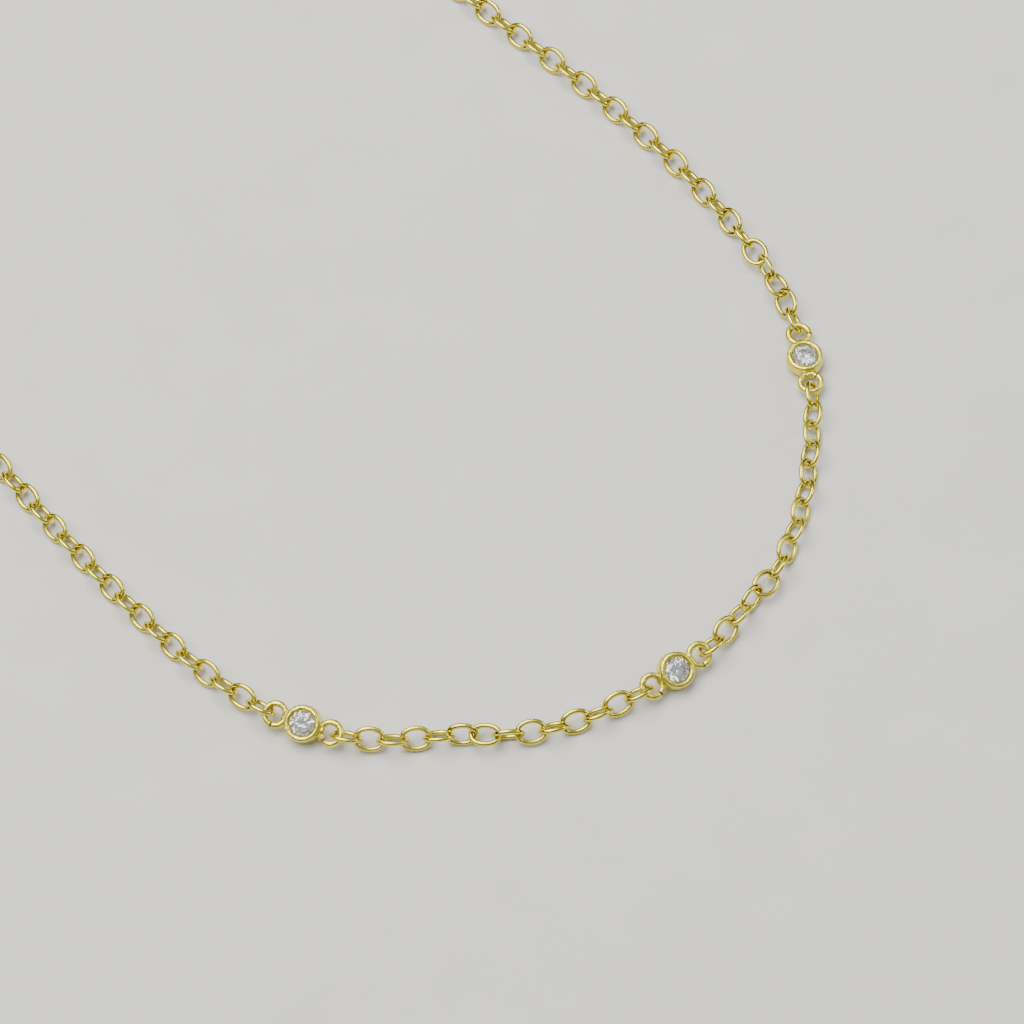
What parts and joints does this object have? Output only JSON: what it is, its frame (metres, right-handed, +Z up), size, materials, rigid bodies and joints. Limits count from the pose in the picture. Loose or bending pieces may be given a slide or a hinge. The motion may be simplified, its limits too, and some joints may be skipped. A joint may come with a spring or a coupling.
{
  "type": "station necklace",
  "caption": "Fine oval cable chain necklace with round cut stones in rolled-edge bezel cups along its front and a plain ring clasp, lying in a long open loop.",
  "frame": {"origin": "middle of the necklace's box, on the surface that it lies on", "axes": "+Z up from the table, +Y from the middle stone to the clasp, +X to the right seen from above with the clasp away from the viewer"},
  "size_m": [0.0747, 0.1682, 0.0028],
  "materials": {
    "chain_metal": "polished pale gold plate",
    "bezel_metal": "polished pale gold plate",
    "clear_stone": "clear cut stone with polished facets",
    "clasp_metal": "polished pale gold plate"
  },
  "bodies": {
    "root": {"chain_left": "chain_metal", "chain_front_left": "chain_metal", "chain_front_right": "chain_metal", "chain_right": "chain_metal", "bezel_left": "bezel_metal", "bezel_middle": "bezel_metal", "bezel_right": "bezel_metal", "stone_left": "clear_stone", "stone_middle": "clear_stone", "stone_right": "clear_stone", "clasp": "clasp_metal"}
  },
  "joints": []
}
